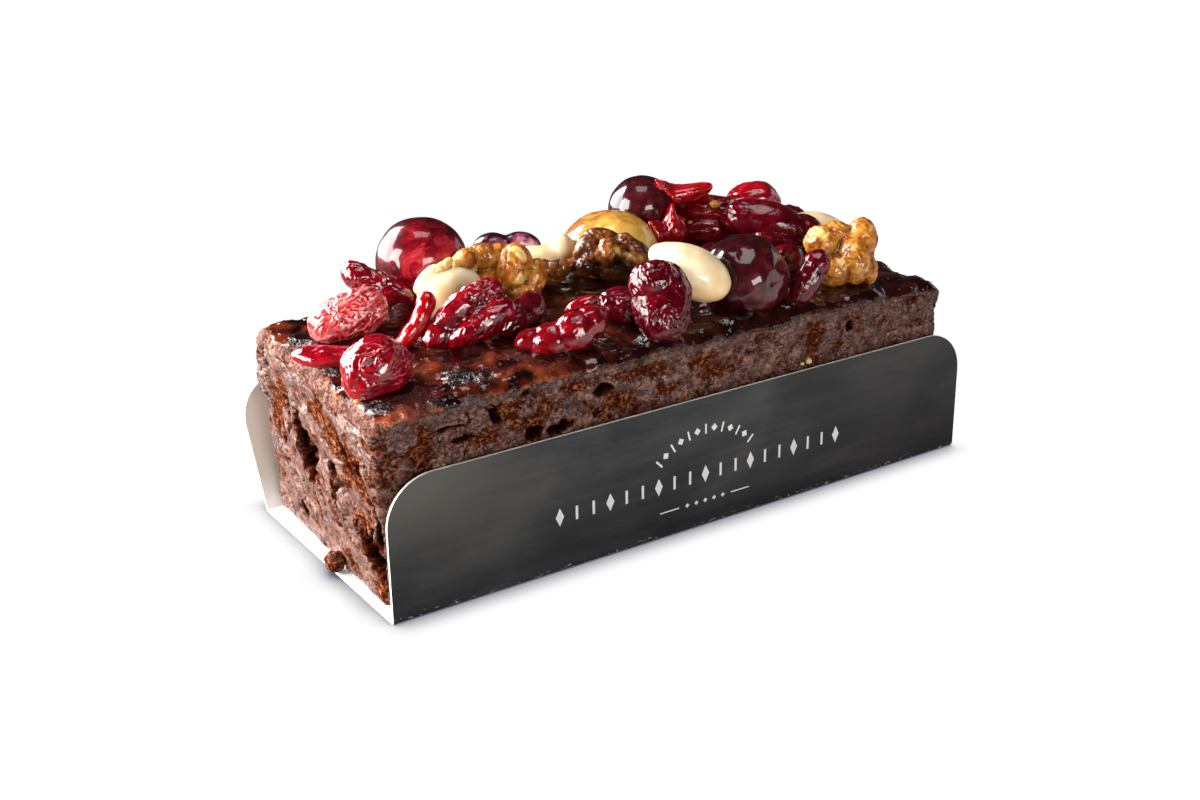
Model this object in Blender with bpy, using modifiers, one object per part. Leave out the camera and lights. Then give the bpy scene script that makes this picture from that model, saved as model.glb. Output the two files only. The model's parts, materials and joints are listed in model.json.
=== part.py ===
"""Mini loaf fruit cake in its folded card tray, topped with cherries, dried cranberries, walnuts and almonds.

Sizes below are in millimetres and become metres at the end. +Z is up and the tray's floor is on z = 0.
+X runs along the loaf and +Y points toward the tray's flared wall. The origin is under the floor's middle.
"""

import math
from collections import namedtuple

import bmesh
import bpy
from mathutils import Euler, Matrix, Vector, noise
from mathutils.bvhtree import BVHTree

MM = 0.001

# Tray: one card folded into a floor and two long walls, open at both ends.
TRAY_LENGTH = 150.0
FLOOR_WIDTH = 60.7
WALL_HEIGHT = 29.6
CARD = 0.6
FOLD_RADIUS = 0.8
CORNER_RADIUS = 10.0
FRONT_LEAN = math.radians(-1.0)
BACK_FLARE = math.radians(25.5)
FOLD_STEPS = 4
CORNER_STEPS = 7

# Cake: a dense loaf, narrower at its foot, with a low domed top. One end is cut a little askew.
CAKE_CENTRE = (-3.2, 1.1)
CAKE_FOOT = (140.2, 54.8)
CAKE_BROW = (145.4, 59.6)
CAKE_BOTTOM = 0.9
CAKE_RIM = 42.4
CAKE_DOME = 2.0
FOOT_EDGE = 2.0
BROW_EDGE = 4.0
CAKE_SKEW = 1.1
CORNER_DROP = 3.0
CAKE_CELLS = (24, 9, 7)
LUMP_HEIGHT = 0.8
LUMP_SPACING = 9.0
LUMP_FREE_HEIGHT = 6.0

# Toppings: each keeps GAP from the cake and from the pieces laid before it.
GAP = 0.7
SPHERE_DETAIL = {"cherry": (14, 9), "almond": (14, 9), "walnut": (18, 11)}
BERRY_DETAIL = (12, 8)

Topping = namedtuple("Topping", "name form finish place size turn seed")

# place is the middle of the piece, size its length, width and height, and turn its yaw, pitch and roll
# in degrees.
TOPPINGS = (
    Topping("almond_front", "almond", "almond", (4.0, -18.0, 53.5), (18.5, 12.5, 10.5), (135, 26, 0), 1),
    Topping("almond_left", "almond", "almond", (-38.4, 8.8, 49.0), (14.5, 11.0, 12.0), (0, 20, 0), 2),
    Topping("almond_middle", "almond", "almond", (-10.4, 17.8, 48.8), (12.5, 8.5, 7.5), (-25, 0, 0), 3),
    Topping("almond_right", "almond", "almond", (60.5, 4.0, 47.8), (16.0, 10.0, 8.0), (-50, -8, 0), 4),
    Topping("walnut_left", "walnut", "walnut", (-23.0, 10.4, 51.5), (17.5, 12.0, 11.0), (-32, -10, 0), 5),
    Topping("walnut_middle", "walnut", "dark_walnut", (-2.0, 1.0, 52.0), (17.5, 13.0, 13.0), (-35, 0, 0), 6),
    Topping("walnut_chip", "walnut", "dark_walnut", (-11.2, 10.0, 48.4), (8.5, 7.5, 6.5), (-25, 8, 0), 7),
    Topping("walnut_right", "walnut", "walnut", (45.6, -19.7, 49.3), (15.5, 13.0, 14.0), (-20, 5, 10), 8),
    Topping("cherry_dark", "cherry", "dark_cherry", (19.4, -17.0, 48.5), (20.2, 20.0, 19.5), (0, 0, 0), 9),
    Topping("cherry_red", "cherry", "red_cherry", (-37.8, 22.4, 52.8), (19.2, 19.2, 19.0), (0, 0, 0), 10),
    Topping("cherry_gold", "cherry", "gold_cherry", (7.2, 16.2, 48.0), (23.0, 22.5, 21.0), (0, 0, 0), 11),
    Topping("cherry_back", "cherry", "dark_cherry", (23.0, 25.5, 54.5), (15.8, 15.8, 15.8), (0, 0, 0), 12),
    Topping("cherry_plum", "cherry", "dark_cherry", (-16.2, 26.6, 46.6), (16.0, 10.0, 12.0), (-34, 0, 0), 13),
    Topping("berry_flat", "berry", "red_berry", (-61.5, 11.0, 47.7), (16.5, 12.5, 9.5), (-35, 0, 0), 14),
    Topping("berry_corner", "berry", "red_berry", (-69.0, -16.5, 46.8), (13.0, 12.5, 13.5), (0, 0, 0), 15),
    Topping("berry_strip", "strip", "red_berry", (-71.0, 0.5, 44.8), (14.0, 7.0, 4.0), (-45, 2, 0), 16),
    Topping("berry_leaf", "leaf", "red_berry", (-49.5, 16.0, 51.5), (16.5, 8.5, 7.0), (-30, -18, 25), 17),
    Topping("berry_sliver", "strip", "bright_berry", (-53.2, -3.0, 48.8), (15.5, 5.0, 4.5), (37, 24, 0), 18),
    Topping("berry_folded", "folded", "red_berry", (-43.8, -7.5, 49.0), (23.0, 11.0, 9.0), (0, 20, 0), 19),
    Topping("berry_low", "berry", "dark_berry", (-31.0, -7.0, 47.2), (15.0, 8.0, 7.0), (25, 15, 0), 20),
    Topping("berry_cup", "cup", "red_berry", (-28.5, -19.5, 47.5), (19.0, 13.0, 10.0), (-18, 5, -15), 21),
    Topping("berry_tucked", "berry", "dark_berry", (-10.0, -14.0, 47.0), (10.5, 10.0, 8.5), (0, 0, 0), 22),
    Topping("berry_upended", "berry", "dark_berry", (-7.0, -23.5, 50.0), (12.0, 17.5, 9.5), (-35, 0, 55), 23),
    Topping("berry_mass", "berry", "dark_berry", (38.0, 20.5, 50.5), (14.0, 11.0, 10.5), (-35, 0, 0), 24),
    Topping("berry_long", "folded", "dark_berry", (47.3, 5.0, 50.5), (24.0, 12.0, 10.5), (-45, -12, 0), 25),
    Topping("berry_top", "berry", "red_berry", (49.8, 16.4, 54.2), (12.0, 9.5, 8.5), (-30, 0, 0), 26),
    Topping("berry_under", "berry", "dark_berry", (38.0, -8.5, 47.0), (10.0, 8.0, 7.5), (0, 0, 0), 27),
    Topping("berry_slanted", "folded", "dark_berry", (31.0, -24.8, 48.9), (17.0, 8.0, 7.0), (-5, 35, 0), 28),
    Topping("berry_cap", "strip", "bright_berry", (31.0, 20.8, 58.0), (15.5, 6.5, 4.0), (-20, 5, 0), 29),
    Topping("berry_upright", "leaf", "bright_berry", (24.4, 16.9, 52.0), (11.0, 10.5, 5.0), (-20, 80, 0), 30),
    Topping("berry_bud", "berry", "red_berry", (17.5, 13.0, 51.5), (6.0, 5.5, 7.0), (0, 0, 0), 31),
    Topping("almond_back", "almond", "almond", (-1.0, 29.0, 46.2), (12.0, 6.5, 6.0), (175, 0, 0), 32),
    Topping("walnut_back", "walnut", "walnut", (47.0, 27.5, 47.5), (15.0, 9.5, 7.5), (10, 0, 0), 33),
    Topping("berry_back", "berry", "dark_berry", (30.0, 28.2, 46.8), (10.0, 7.0, 6.5), (25, 0, 0), 34),
    Topping("berry_end", "berry", "dark_berry", (62.5, 17.5, 46.8), (11.0, 8.5, 7.0), (100, 0, 0), 35),
    Topping("berry_hidden", "folded", "dark_berry", (27.0, 1.0, 47.5), (14.0, 9.0, 7.5), (15, 0, 0), 36),
    Topping("crumb", "berry", "crumb", (-75.0, -5.0, 2.9), (3.4, 4.6, 3.6), (0, 0, 0), 37),
)

# Finish: base colour, roughness.
FINISHES = {
    "card": ((0.050, 0.048, 0.046), 0.62),
    "crumb": ((0.075, 0.030, 0.018), 0.70),
    "almond": ((0.80, 0.58, 0.33), 0.28),
    "walnut": ((0.47, 0.23, 0.075), 0.35),
    "dark_walnut": ((0.16, 0.060, 0.020), 0.32),
    "red_cherry": ((0.22, 0.006, 0.012), 0.08),
    "gold_cherry": ((0.55, 0.26, 0.035), 0.12),
    "dark_cherry": ((0.055, 0.004, 0.010), 0.10),
    "red_berry": ((0.24, 0.006, 0.012), 0.25),
    "bright_berry": ((0.42, 0.008, 0.008), 0.25),
    "dark_berry": ((0.075, 0.005, 0.012), 0.25),
}


def clear_scene():
    """Removes the default objects."""
    for thing in list(bpy.data.objects):
        bpy.data.objects.remove(thing)


def finish(name):
    """The material of that name, made once."""
    if name in bpy.data.materials:
        return bpy.data.materials[name]
    colour, roughness = FINISHES[name]
    material = bpy.data.materials.new(name)
    material.use_nodes = True
    shader = material.node_tree.nodes["Principled BSDF"]
    shader.inputs["Base Color"].default_value = (*colour, 1.0)
    shader.inputs["Roughness"].default_value = roughness
    shader.inputs["Metallic"].default_value = 0.0
    return material


def add_object(name, mesh, finish_name, collection):
    """Links a bmesh as a named object, turned from millimetres into metres."""
    mesh.transform(Matrix.Scale(MM, 4))
    data = bpy.data.meshes.new(name)
    mesh.to_mesh(data)
    mesh.free()
    data.materials.append(finish(finish_name))
    thing = bpy.data.objects.new(name, data)
    collection.objects.link(thing)
    return thing


def wall_rows(foot, rise, tip):
    """Rows up a wall from its foot: the full length, then shorter along the rounded top corners."""
    rows = [(foot, TRAY_LENGTH / 2)]
    reach = (tip - foot).length
    for step in range(CORNER_STEPS + 1):
        angle = math.pi / 2 * step / CORNER_STEPS
        height = reach - CORNER_RADIUS * (1 - math.sin(angle))
        half = TRAY_LENGTH / 2 - CORNER_RADIUS * (1 - math.cos(angle))
        rows.append((foot + rise * height, half))
    return rows


def folded_side(lean, side):
    """Rows of the outer face of one long wall, from the floor's edge round the fold to the top."""
    rows = []
    middle = Vector((0.0, side * (FLOOR_WIDTH / 2 - FOLD_RADIUS), FOLD_RADIUS))
    turn = math.pi / 2 - lean
    for step in range(FOLD_STEPS + 1):
        angle = turn * step / FOLD_STEPS
        outward = Vector((0.0, side * math.sin(angle), -math.cos(angle)))
        rows.append((middle + outward * FOLD_RADIUS, TRAY_LENGTH / 2))
    foot = rows.pop()[0]
    rise = Vector((0.0, side * math.sin(lean), math.cos(lean)))
    return rows + wall_rows(foot, rise, foot + rise * (WALL_HEIGHT - FOLD_RADIUS))


def build_tray(collection):
    """The card's outer face, a strip of rows along the fold lines, thickened inward by a modifier."""
    front = folded_side(FRONT_LEAN, -1)
    back = folded_side(BACK_FLARE, 1)
    mesh = bmesh.new()
    pairs = []
    for place, half in front[::-1] + back:
        left = mesh.verts.new((-half, place.y, place.z))
        right = mesh.verts.new((half, place.y, place.z))
        pairs.append((left, right))
    for lower, upper in zip(pairs, pairs[1:]):
        mesh.faces.new((lower[0], upper[0], upper[1], lower[1]))
    tray = add_object("tray", mesh, "card", collection)
    solid = tray.modifiers.new("card thickness", "SOLIDIFY")
    solid.thickness = CARD * MM
    solid.offset = -1.0
    solid.use_even_offset = True


def cut_into_cells(mesh, size, cells):
    """Cuts a box across each axis into equal cells."""
    for axis in range(3):
        across = Vector((0.0, 0.0, 0.0))
        across[axis] = 1.0
        for step in range(1, cells[axis]):
            everything = mesh.verts[:] + mesh.edges[:] + mesh.faces[:]
            level = across * size[axis] * (step / cells[axis] - 0.5)
            bmesh.ops.bisect_plane(mesh, geom=everything, plane_co=level, plane_no=across)


def rounded(place, half, radius):
    """Moves a point of a box's skin onto the same box with rounded edges."""
    core = Vector(max(-h + radius, min(h - radius, c)) for c, h in zip(place, half))
    away = place - core
    return core + away.normalized() * radius


def lumps(place):
    """Uneven rise of the baked crumb, from -1 to 1."""
    return noise.noise(place / LUMP_SPACING) + 0.5 * noise.noise(place * 2.3 / LUMP_SPACING)


def shape_cake(place, half):
    """Turns the plain box into the loaf: rounded, wider at the brow, domed, askew at one end and lumpy."""
    level = (place.z + half.z) / (2 * half.z)
    place = rounded(place, half, FOOT_EDGE + (BROW_EDGE - FOOT_EDGE) * level)
    along = place.x / half.x
    across = place.y / half.y
    rise = (place.z + half.z) / (2 * half.z)
    foot = Vector(CAKE_FOOT) / 2
    brow = Vector(CAKE_BROW) / 2
    reach = foot.lerp(brow, rise)
    dome = CAKE_DOME * max(0.0, 1 - along**6) * max(0.0, 1 - across**4) * rise**3
    shaped = Vector((along * reach.x, across * reach.y, place.z + half.z + CAKE_BOTTOM + dome))
    if along < 0:
        shaped.x += CAKE_SKEW * across * along**2
        shaped.z -= CORNER_DROP * along**8 * (1 - across) / 2 * rise**3
    push = LUMP_HEIGHT * lumps(shaped) * min(1.0, shaped.z / LUMP_FREE_HEIGHT)
    shaped += Vector((along**5, across**5, rise**4)) * push
    return shaped + Vector((*CAKE_CENTRE, 0.0))


def build_cake(collection):
    """The loaf, from a box cut into cells."""
    size = Vector((*CAKE_BROW, CAKE_RIM - CAKE_BOTTOM))
    mesh = bmesh.new()
    bmesh.ops.create_cube(mesh, size=1.0, matrix=Matrix.Diagonal((*size, 1.0)))
    cut_into_cells(mesh, size, CAKE_CELLS)
    for vert in mesh.verts:
        vert.co = shape_cake(vert.co.copy(), size / 2)
    return add_object("cake", mesh, "crumb", collection)


def crease(across, depth, width):
    """Depth of a rounded furrow at a distance across it."""
    return depth * math.exp(-((across / width) ** 2))


def wrinkled(way, seed, depth, spacing):
    """A point of a unit sphere, pushed in or out by seeded noise."""
    drift = Vector((seed * 3.7, seed * 1.9, seed * 5.3))
    return way * (1 + depth * noise.noise(way / spacing + drift))


def cherry(way, seed):
    """Round, a little uneven, with a shallow dimple on top where the stalk was."""
    point = wrinkled(way, seed, 0.03, 0.9)
    point.z -= crease(math.hypot(way.x, way.y), 0.08, 0.22) * max(0.0, way.z)
    return point


def almond(way, seed):
    """Egg-shaped: narrower toward its +X tip."""
    point = wrinkled(way, seed, 0.03, 1.1)
    narrow = 1 - 0.20 * way.x - 0.06 * way.x**2
    return Vector((point.x, point.y * narrow, point.z * narrow))


def walnut(way, seed):
    """Half a kernel: lobes either side of a lengthwise furrow, and a flatter underside."""
    point = wrinkled(way, seed, 0.42, 0.42)
    point -= way * crease(way.y, 0.22, 0.16) * max(0.0, way.z)
    point -= way * crease(way.x - 0.1, 0.12, 0.14) * max(0.0, way.z)
    if point.z < 0:
        point.z *= 0.8
    return point


def berry(way, seed):
    """A plump dried berry, unevenly shrunken."""
    return wrinkled(way, seed, 0.22, 0.55)


def folded(way, seed):
    """A dried berry split by a deep groove along its top."""
    point = wrinkled(way, seed, 0.20, 0.5)
    point.z -= crease(way.y, 0.55, 0.28) * max(0.0, way.z) * (1 - 0.6 * way.x**2)
    return point


def cup(way, seed):
    """A dried berry curled up at both ends round a hollow."""
    point = wrinkled(way, seed, 0.16, 0.5)
    point.z -= crease(math.hypot(way.x, way.y * 1.1), 1.0, 0.55) * max(0.0, way.z)
    point.z += 0.45 * way.x**2
    return point


def strip(way, seed):
    """A thin slice of berry, bowed along its length."""
    point = wrinkled(way, seed, 0.18, 0.6)
    point.z += 0.35 * way.x**2 - 0.15
    return point


def leaf(way, seed):
    """A slice of berry with a blunt end and a pointed +X end."""
    point = wrinkled(way, seed, 0.18, 0.6)
    narrow = 1 - 0.55 * max(0.0, way.x) - 0.1 * way.x
    point.z -= crease(way.y, 0.30, 0.30) * max(0.0, way.z)
    return Vector((point.x, point.y * narrow, point.z * narrow))


FORMS = {form.__name__: form for form in (cherry, almond, walnut, berry, folded, cup, strip, leaf)}


def turning(turn):
    """Roll about X, then pitch that lifts the +X end, then yaw."""
    yaw, pitch, roll = (math.radians(angle) for angle in turn)
    return Euler((roll, -pitch, yaw), "XYZ").to_matrix()


def inside(tree, point):
    """True if a ray that leaves the point crosses the closed skin an odd number of times."""
    way = Vector((0.13, 0.07, 1.0)).normalized()
    crossings = 0
    hit = tree.ray_cast(point, way)[0]
    while hit is not None:
        crossings += 1
        hit = tree.ray_cast(hit + way * 0.001, way)[0]
    return crossings % 2 == 1


def settle(mesh, neighbours):
    """Presses a piece against what is already there, so that GAP is left between them."""
    for tree in neighbours:
        for vert in mesh.verts:
            near, outward, _, distance = tree.find_nearest(vert.co)
            if inside(tree, vert.co):
                vert.co = near + outward * GAP
            elif distance < GAP:
                vert.co = near + (vert.co - near).normalized() * GAP


def hull_of(mesh):
    """A search tree of the piece's convex hull, which the next pieces keep clear of."""
    hull = mesh.copy()
    made = bmesh.ops.convex_hull(hull, input=hull.verts)
    bmesh.ops.delete(hull, geom=made["geom_interior"], context="VERTS")
    inner = [face for face in hull.faces if face not in set(made["geom"])]
    bmesh.ops.delete(hull, geom=inner, context="FACES_ONLY")
    bmesh.ops.recalc_face_normals(hull, faces=hull.faces)
    tree = BVHTree.FromBMesh(hull)
    hull.free()
    return tree


def build_topping(topping, neighbours, collection):
    """Shapes a sphere into the topping, settles it, and adds it to the neighbours."""
    segments, rings = SPHERE_DETAIL.get(topping.form, BERRY_DETAIL)
    mesh = bmesh.new()
    bmesh.ops.create_uvsphere(
        mesh,
        u_segments=segments,
        v_segments=rings,
        radius=1.0,
        matrix=Matrix.Rotation(math.pi / 2, 4, "Y"),
    )
    half = Vector(topping.size) / 2
    rotation = turning(topping.turn)
    for vert in mesh.verts:
        point = FORMS[topping.form](vert.co.normalized(), topping.seed)
        vert.co = rotation @ (point * half) + Vector(topping.place)
    settle(mesh, neighbours)
    neighbours.append(hull_of(mesh))
    add_object(topping.name, mesh, topping.finish, collection)


def build():
    """The tray, the cake in it, and the toppings laid on it one after another."""
    clear_scene()
    collection = bpy.data.collections.new("fruit_cake")
    bpy.context.scene.collection.children.link(collection)
    build_tray(collection)
    cake = build_cake(collection)
    skin = bmesh.new()
    skin.from_mesh(cake.data)
    skin.transform(Matrix.Scale(1 / MM, 4))
    neighbours = [BVHTree.FromBMesh(skin)]
    skin.free()
    for topping in TOPPINGS:
        build_topping(topping, neighbours, collection)


build()
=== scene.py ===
"""Looks of the mini loaf fruit cake in its printed card tray.

Lengths are in millimetres unless said otherwise.
"""

import json
from itertools import product
from math import atan2, cos, pi, radians, sin, tan

import bmesh
import bpy
import numpy as np
from mathutils import Matrix, Vector, noise
from mathutils.bvhtree import BVHTree


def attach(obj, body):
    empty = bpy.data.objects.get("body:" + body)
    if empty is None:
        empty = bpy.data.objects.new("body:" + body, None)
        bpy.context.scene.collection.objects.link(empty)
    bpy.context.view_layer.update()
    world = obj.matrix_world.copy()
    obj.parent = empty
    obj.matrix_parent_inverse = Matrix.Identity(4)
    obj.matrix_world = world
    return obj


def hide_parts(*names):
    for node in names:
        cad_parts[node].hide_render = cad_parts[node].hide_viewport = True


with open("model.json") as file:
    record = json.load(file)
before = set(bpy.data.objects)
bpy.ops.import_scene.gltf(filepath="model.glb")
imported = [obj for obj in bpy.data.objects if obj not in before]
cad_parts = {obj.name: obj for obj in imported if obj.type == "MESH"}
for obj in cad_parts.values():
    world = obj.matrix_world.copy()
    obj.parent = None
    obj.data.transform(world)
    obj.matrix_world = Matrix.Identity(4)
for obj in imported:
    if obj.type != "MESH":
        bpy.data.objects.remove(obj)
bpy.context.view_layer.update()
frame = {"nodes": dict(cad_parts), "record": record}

MM = 0.001

# The loaf, as the CAD has it.
CAKE_CENTRE = (-3.2, 1.1)
CAKE_FOOT = (140.2, 54.8)
CAKE_BROW = (145.4, 59.6)
CAKE_BOTTOM = 0.9
CAKE_RIM = 42.4
CAKE_DOME = 2
FOOT_EDGE = 2
BROW_EDGE = 2.6
CAKE_SKEW = 1.1
CORNER_DROP = 3
RIGHT_DROP = 2.2
RIGHT_BULGE = 0.8
LUMP_HEIGHT = 0.8
LUMP_SPACING = 9
LUMP_FREE_HEIGHT = 6

# The tray, as the CAD has it.
TRAY_LENGTH = 150
FLOOR_WIDTH = 60.7
WALL_HEIGHT = 29.6
CARD = 0.6
FOLD_RADIUS = 0.8
CORNER_RADIUS = 10
FRONT_LEAN = radians(-1)
BACK_FLARE = radians(25.5)

# The way the knife and the tin dragged the crumb.
DRAG = np.array([0, 0.88, 0.475])

# The glaze reaches this far down below the brow and climbs up toppings this near.
GLAZE_SKIRT = 4.6
GLAZE_REACH = 8

# Steps of the loaf's grid along and up, across, and up near the foot, and voxels of the toppings.
STEP = 0.42
STEP_ACROSS = 0.36
STEP_BELOW = 0.58
FOOT_LEVEL = 5
WRINKLED_VOXEL = 0.23
SMOOTH_VOXEL = 0.4
TOUCHING = 0.01
FAR = 9.0

CAMERA_PLACE = (-189.25, -269.62, 152.90)
CAMERA_AZIMUTH = radians(-34.117)
CAMERA_ELEVATION = radians(22.115)
CAMERA_ROLL = radians(-0.302)
CAMERA_LENS = 47.19


def view_axes():
    """The camera's right, up and backward directions, one to a row."""
    a, e, r = CAMERA_AZIMUTH, CAMERA_ELEVATION, CAMERA_ROLL
    back = Vector((sin(a) * cos(e), -cos(a) * cos(e), sin(e)))
    right = (-back).cross(Vector((0, 0, 1))).normalized()
    up = right.cross(-back)
    return np.array([cos(r) * right + sin(r) * up, cos(r) * up - sin(r) * right, back])


VIEW = view_axes()

# ---- noise on arrays of points

_rng = np.random.default_rng(7)
SLOPES = _rng.normal(size=(4096, 3))
SLOPES /= np.linalg.norm(SLOPES, axis=1, keepdims=True)
SPOTS = _rng.random((4096, 3))
CHANCES = _rng.random(4096)


def lattice(cell, seed):
    """A number from 0 to 4095 for each whole-numbered cell."""
    cell = cell.astype(np.int64)
    mixed = cell[:, 0] * 73856093 ^ cell[:, 1] * 19349663 ^ cell[:, 2] * 83492791 ^ (seed * 2654435 + 12345)
    mixed = (mixed ^ (mixed >> 11)) * 1274126177
    return (mixed ^ (mixed >> 15)) & 4095


def perlin(points, seed=0):
    """Smooth noise, about -1 to 1."""
    base = np.floor(points)
    part = points - base
    fade = part * part * part * (part * (part * 6 - 15) + 10)
    total = np.zeros(len(points))
    for corner in product((0, 1), repeat=3):
        slope = SLOPES[lattice(base + corner, seed)]
        weight = np.ones(len(points))
        for axis in range(3):
            weight *= fade[:, axis] if corner[axis] else 1 - fade[:, axis]
        total += weight * ((part - corner) * slope).sum(1)
    return total * 1.7


def fractal(points, octaves=3, seed=0, gain=0.5):
    total = np.zeros(len(points))
    strength = 1
    for octave in range(octaves):
        total += strength * perlin(points * 2.03**octave, seed + octave)
        strength *= gain
    return total


def drift(points, seed=0):
    """Three noises, to warp points with."""
    return np.stack([perlin(points + 31.7 * axis, seed + 50 + axis) for axis in range(3)], axis=1)


def cells(points, seed=0):
    """Distance to the nearest and the next nearest scattered spot, and the nearest one's chance, 0 to 1."""
    base = np.floor(points)
    first = np.full(len(points), FAR)
    second = np.full(len(points), FAR)
    chance = np.zeros(len(points))
    for offset in product((-1, 0, 1), repeat=3):
        cell = base + offset
        key = lattice(cell, seed)
        away = np.linalg.norm(cell + SPOTS[key] - points, axis=1)
        closer = away < first
        second = np.where(closer, first, np.minimum(second, away))
        chance = np.where(closer, CHANCES[key], chance)
        first = np.where(closer, away, first)
    return first, second, chance


def ease(value, low, high):
    """0 below low, 1 above high and a smooth rise between."""
    share = np.clip((value - low) / (high - low), 0, 1)
    return share * share * (3 - 2 * share)


# ---- meshes


def add_object(name, data):
    thing = bpy.data.objects.new(name, data)
    bpy.context.scene.collection.objects.link(thing)
    return thing


def new_piece(name, points, faces, materials, groups=None):
    """A smooth mesh object from points in millimetres. groups gives each face's material."""
    mesh = bpy.data.meshes.new(name)
    mesh.from_pydata((np.asarray(points) * MM).tolist(), [], [list(face) for face in faces])
    for material in materials:
        mesh.materials.append(material)
    if groups is not None:
        mesh.polygons.foreach_set("material_index", np.asarray(groups, np.int32))
    mesh.shade_smooth()
    return add_object(name, mesh)


def vectors(collection, key):
    """A mesh collection's vectors as rows."""
    flat = np.empty(len(collection) * 3, np.float32)
    collection.foreach_get(key, flat)
    return flat.reshape(-1, 3).astype(float)


def points_of(piece):
    return vectors(piece.data.vertices, "co") / MM


def normals_of(piece):
    return vectors(piece.data.vertex_normals, "vector")


def swell(piece, height):
    """Moves each point out along its normal, by so many millimetres."""
    points = points_of(piece) + normals_of(piece) * height.reshape(-1, 1)
    piece.data.vertices.foreach_set("co", (points * MM).astype(np.float32).ravel())
    piece.data.update()


def paint(piece, name, values):
    """A value at each point, for the material to read."""
    layer = piece.data.attributes.new(name, "FLOAT", "POINT")
    layer.data.foreach_set("value", values.astype(np.float32))


def settle_in(piece, slot, *nodes):
    """The piece moves with the cake and stands for those CAD nodes. slot is not used."""
    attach(piece, "root")
    if nodes:
        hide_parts(*nodes)


def remeshed(source, name, voxel, smoothing, subdivisions=0):
    """A fine even mesh over a shape, smoothed so many times."""
    source.modifiers.new("weld", "WELD").merge_threshold = TOUCHING * MM
    if subdivisions:
        smooth = source.modifiers.new("smooth", "SUBSURF")
        smooth.levels = smooth.render_levels = subdivisions
    even = source.modifiers.new("even", "REMESH")
    even.mode = "VOXEL"
    even.voxel_size = voxel * MM
    relax = source.modifiers.new("relax", "SMOOTH")
    relax.factor = 0.5
    relax.iterations = smoothing
    bpy.context.view_layer.update()
    seen = source.evaluated_get(bpy.context.evaluated_depsgraph_get())
    mesh = bpy.data.meshes.new_from_object(seen)
    mesh.shade_smooth()
    return add_object(name, mesh)


def fine_copy(node, name, voxel, smoothing=6, grow=0):
    """A fine even mesh over the node's form, with its facets smoothed away."""
    source = add_object(name + "_source", frame["nodes"][node].data.copy())
    source.data.materials.clear()
    piece = remeshed(source, name, voxel, smoothing, 2)
    bpy.data.objects.remove(source)
    if grow:
        swell(piece, np.full(len(piece.data.vertices), grow))
    return piece


# ---- materials


class Look:
    """A node material whose patterns are placed in millimetres."""

    def __init__(self, name):
        self.material = bpy.data.materials.new(name)
        self.material.use_nodes = True
        self.tree = self.material.node_tree
        self.shader = self.tree.nodes["Principled BSDF"]
        place = self.node("TexCoord").outputs["Object"]
        self.place = self.node("VectorMath", {0: place, "Scale": 1 / MM}, operation="SCALE").outputs[0]

    def feed(self, socket, value):
        if isinstance(value, bpy.types.NodeSocket):
            self.tree.links.new(value, socket)
        elif socket.type == "RGBA":
            socket.default_value = (*value, 1)
        else:
            socket.default_value = value

    def node(self, kind, inputs=None, **settings):
        """A new node. inputs gives its sockets' values, by name or number."""
        node = self.tree.nodes.new("ShaderNode" + kind)
        for name, value in settings.items():
            setattr(node, name, value)
        for name, value in (inputs or {}).items():
            self.feed(node.inputs[name], value)
        return node

    def set(self, **values):
        """Feeds the shader. An underscore stands for a space in a socket's name."""
        for name, value in values.items():
            self.feed(self.shader.inputs[name.replace("_", " ")], value)

    def at(self, size, shift, turn):
        """The place in units of size, which may be one number or three, after a turn about X."""
        sizes = size if isinstance(size, tuple) else (size,) * 3
        moved = (shift, shift * 0.7, shift * 1.3)
        inputs = {"Vector": self.place, "Scale": sizes, "Rotation": (turn, 0, 0), "Location": moved}
        return self.node("Mapping", inputs, vector_type="TEXTURE").outputs[0]

    def noise(self, size, detail=3, rough=0.5, warp=0, shift=0, turn=0):
        inputs = {"Vector": self.at(size, shift, turn), "Scale": 1}
        inputs |= {"Detail": detail, "Roughness": rough, "Distortion": warp}
        return self.node("TexNoise", inputs).outputs["Fac"]

    def cells(self, size):
        """Distance to the nearest of scattered spots."""
        return self.node("TexVoronoi", {"Vector": self.at(size, 0, 0), "Scale": 1}).outputs["Distance"]

    def attribute(self, name):
        return self.node("Attribute", attribute_name=name).outputs["Fac"]

    def maths(self, operation, *values):
        return self.node("Math", dict(enumerate(values)), operation=operation).outputs[0]

    def plus(self, *values):
        return self.maths("ADD", *values)

    def less(self, *values):
        return self.maths("SUBTRACT", *values)

    def times(self, *values):
        return self.maths("MULTIPLY", *values)

    def most(self, *values):
        return self.maths("MAXIMUM", *values)

    def off_half(self, value):
        """How far a pattern is from its middle value: 0 along thin lines."""
        return self.maths("ABSOLUTE", self.less(value, 0.5))

    def between(self, value, low, high, start=0, end=1):
        """value's smooth step from low to high, as a number from start to end."""
        inputs = {"Value": value, "From Min": low, "From Max": high, "To Min": start, "To Max": end}
        return self.node("MapRange", inputs, interpolation_type="SMOOTHSTEP").outputs["Result"]

    def ramp(self, value, *stops):
        node = self.node("ValToRGB", {"Fac": value})
        band = node.color_ramp
        while len(band.elements) < len(stops):
            band.elements.new(0.5)
        for element, (position, colour) in zip(band.elements, stops):
            element.position = position
            element.color = (*colour, 1)
        return node.outputs["Color"]

    def mix(self, share, first, second):
        return self.node("Mix", {0: share, 6: first, 7: second}, data_type="RGBA").outputs[2]

    def bump(self, height, depth, under=None):
        """A normal for a pattern that is depth millimetres deep."""
        inputs = {"Strength": 1, "Distance": depth * MM, "Height": height}
        if under is not None:
            inputs["Normal"] = under
        return self.node("Bump", inputs).outputs["Normal"]

    def facing(self):
        """0 where the surface faces the eye and 1 at its rim; for gloss alone."""
        return self.node("LayerWeight").outputs["Facing"]

    def along(self, axis):
        """The place on that axis, in millimetres."""
        return self.node("SeparateXYZ", {0: self.place}).outputs[axis]


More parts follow.
